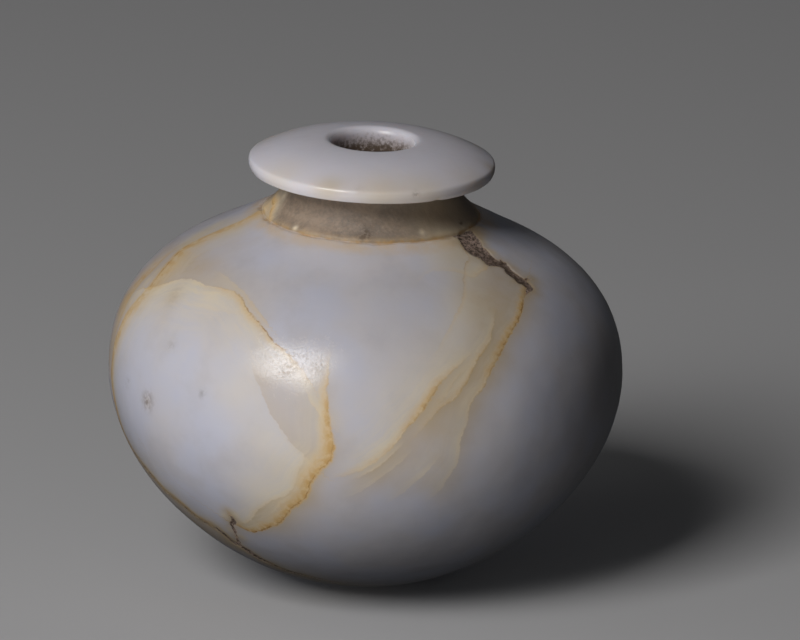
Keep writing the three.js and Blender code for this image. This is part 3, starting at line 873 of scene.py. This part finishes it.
def mouthColour(colour, place, marks):  # a bore painted duller and darker the deeper it goes: crumbs of dirt, and painted shade of the recess
    colour = tint(colour, times(marks["Y"], 0.8), "boreDullAndShaded")
    dirtAndShade = scaled(marks["Y"], 0.55, cloud(place, 0.5, 5, 0.0, 1.0))
    # Dark crumbs crowd together deep down: dirt, and painted shade at the bottom of the bore.
    dirtAndShade = times(fade(dirtAndShade, 0.6, 1.08), marks["Y"])
    return tint(colour, dirtAndShade, "grimeAndShade")


def stoneMaterial():
    stone = bpy.data.materials.new("bandedStone")
    stone.use_nodes = True
    tree = stone.node_tree
    tree.nodes.clear()
    place = addNode(tree, "ShaderNodeTexCoord").outputs["Object"]
    perCm = 0.1 / mm  # patterns are drawn in centimetres from the middle of the belly
    place = addNode(tree, "ShaderNodeMapping", {
        "Vector": place, "Location": (0, 0, -0.1 * jar["bellyHeight"]), "Scale": (perCm,) * 3}).outputs[0]

    marks, stainedAndPaintedLight, crack = fieldOf(tree, "marks"), fieldOf(tree, "stainsAndPaintedLight"), fieldOf(tree, "cracks")
    fine = cloud(place, 1.6, 4, 0.3, 0.7)
    patchy = cloud(place, 3.0, 4, 0.25, 0.65)
    grain = cloud(place, 1.3, 4, 0.3, 0.65)
    waver, crumb = centredCloud(place, 0.9), centredCloud(place, 0.5)
    wander = plus(times(centredCloud(place, 5.0), 0.7), times(waver, 0.5))
    colour = groundColour(place, marks, stainedAndPaintedLight, patchy, crumb)
    colour = veinedColour(tree, colour, {"Place": place, "Wander": wander, "Crumb": crumb, "Grain": grain})
    colour = footLineColour(colour, marks, patchy, grain, waver)
    brown = times(stainedAndPaintedLight["Z"], cloud(place, 0.7, 4, 0.35, 0.6))
    colour = tint(colour, brown, "grimeAndShade")
    colour, inside, speck = crackedColour(colour, place, crack, patchy, grain, waver)
    colour = mouthColour(colour, place, marks)
    scuffed = addNode(tree, "ShaderNodeAttribute", attribute_name="worn").outputs["Fac"]
    scuff = times(scuffed, times(cloud(place, 0.45, 3, 0.35, 0.75), patchy))
    colour = tint(colour, times(scuff, 0.45), "tan")

    dull = calc("MAXIMUM", inside, marks["Y"])
    dull = calc("MAXIMUM", times(marks["X"], 0.7), dull)
    roughness = scaled(fine, stoneFinish["unevenness"], stoneFinish["roughness"])
    roughness = plus(roughness, times(scuff, stoneFinish["scuffed"]))
    roughness = calc("ADD", roughness, times(dull, stoneFinish["dull"]), clamp=True)
    height = times(cloud(place, 0.6, 2, 0, 1), 0.004)  # in mm, as all that is added to it
    height = plus(height, times(cloud(place, 3.0, 2, 0, 1), 0.025))
    height = plus(height, times(times(inside, speck), 0.1))
    height = plus(height, times(marks["X"], times(fine, 0.05)))
    height = calc("SUBTRACT", height, times(scuff, 0.02))
    bump = addNode(tree, "ShaderNodeBump", {"Height": height, "Distance": mm, "Strength": 1.0})
    surface = addNode(tree, "ShaderNodeBsdfPrincipled", {
        "Base Color": colour, "Roughness": roughness, "Normal": bump.outputs[0],
        "Subsurface Weight": stoneFinish["subsurface"], "Subsurface Radius": (1.0, 0.85, 0.75),
        "Subsurface Scale": stoneFinish["scatterDepth"] * mm, "IOR": stoneFinish["ior"]})
    addNode(tree, "ShaderNodeOutputMaterial", {"Surface": surface.outputs[0]})
    return stone


print("turning the jar:", len(outline), "rows")
piece = turnJar(stoneMaterial())
sculptJar(piece)
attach(piece, "root")
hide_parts("vessel")
print("the jar stands ready")

# Floor, light and camera. The camera looks down on the jar as the photograph does.
studio = {
    "floor": (0.52, 0.52, 0.53, 1),
    "floorReach": 4.0,       # metres from the middle
    "sky": 0.019,
    "skyTint": (0.95, 0.97, 1.0, 1),
    "viewElevation": 16.75,
    "viewDistance": 1500,
    "viewAim": (5.367, 1.523, 39.502),
    "lensPixels": 9658.5,    # focal length in pixels of an 800 wide frame
}

# Soft boxes: degrees round from the front, elevation, distance, width and height in metres, and power. The
# card lies on the floor in front and throws light up under the belly. The back one lights the far side.
lamps = {
    "key": {"place": (-38.0, 40.0, 0.95), "size": (0.43, 0.46), "power": 5.5, "tint": (1.0, 0.985, 0.97)},
    "fill": {"place": (-46.0, 3.0, 1.2), "size": (1.3, 0.5), "power": 2.6, "tint": (0.98, 0.99, 1.0)},
    "side": {"place": (-82.0, 14.0, 1.1), "size": (0.5, 0.6), "power": 0.8, "tint": (1.0, 0.99, 0.97)},
    "back": {"place": (165.0, 5.0, 1.3), "size": (1.2, 0.5), "power": 1.5, "tint": (0.98, 0.99, 1.0)},
    "card": {"place": (-34.0, -8.6, 0.2), "size": (0.3, 0.2), "power": 0.19, "tint": (0.98, 0.99, 1.0)},
}


def layFloor():
    mesh = bpy.data.meshes.new("floor")
    reach = studio["floorReach"]
    corners = [(-reach, -reach, 0), (reach, -reach, 0), (reach, reach, 0), (-reach, reach, 0)]
    mesh.from_pydata(corners, [], [(0, 1, 2, 3)])
    floor = addObject("floor", mesh)
    paper = bpy.data.materials.new("palePaper")
    paper.use_nodes = True
    surface = paper.node_tree.nodes["Principled BSDF"]
    surface.inputs["Base Color"].default_value = studio["floor"]
    surface.inputs["Roughness"].default_value = 0.9
    mesh.materials.append(paper)
    floor.visible_diffuse = False  # a large pale floor would fill the shaded side with light
    floor.visible_glossy = False


def aimAt(thing, place, target):
    thing.location = place
    thing.rotation_euler = (Vector(target) - Vector(place)).to_track_quat("-Z", "Y").to_euler()


def hangLights():
    middle = Vector((0, 0, jar["bellyHeight"] * mm))
    for name, lamp in lamps.items():
        data = bpy.data.lights.new(name, "AREA")
        data.shape = "RECTANGLE"
        data.size, data.size_y = lamp["size"]
        data.energy, data.color = lamp["power"], lamp["tint"]
        light = addObject(name, data)
        light.visible_camera = False
        light.visible_glossy = name == "key"  # the one highlight of the photograph
        turn, rise = (math.radians(angle) for angle in lamp["place"][:2])
        way = Vector((math.sin(turn) * math.cos(rise), -math.cos(turn) * math.cos(rise), math.sin(rise)))
        place = middle + way * lamp["place"][2]
        aimAt(light, place, place + Vector((0, 0.001, 1)) if name == "card" else middle)
    world = bpy.data.worlds.new("studio")
    bpy.context.scene.world = world
    world.use_nodes = True
    world.node_tree.nodes["Background"].inputs[0].default_value = studio["skyTint"]
    world.node_tree.nodes["Background"].inputs[1].default_value = studio["sky"]


def placeCamera():
    camera = addObject("camera", bpy.data.cameras.new("camera"))
    camera.data.sensor_width = 36.0
    camera.data.lens = studio["lensPixels"] * 36.0 / 800
    aim = Vector(studio["viewAim"]) * mm
    rise = math.radians(studio["viewElevation"])
    aimAt(camera, aim + Vector((0, -math.cos(rise), math.sin(rise))) * studio["viewDistance"] * mm, aim)
    camera.data.clip_start, camera.data.clip_end = 0.05, 20
    bpy.context.scene.camera = camera


layFloor()
hangLights()
placeCamera()
bpy.context.scene.view_settings.view_transform = "Standard"
print("floor, light and camera placed")
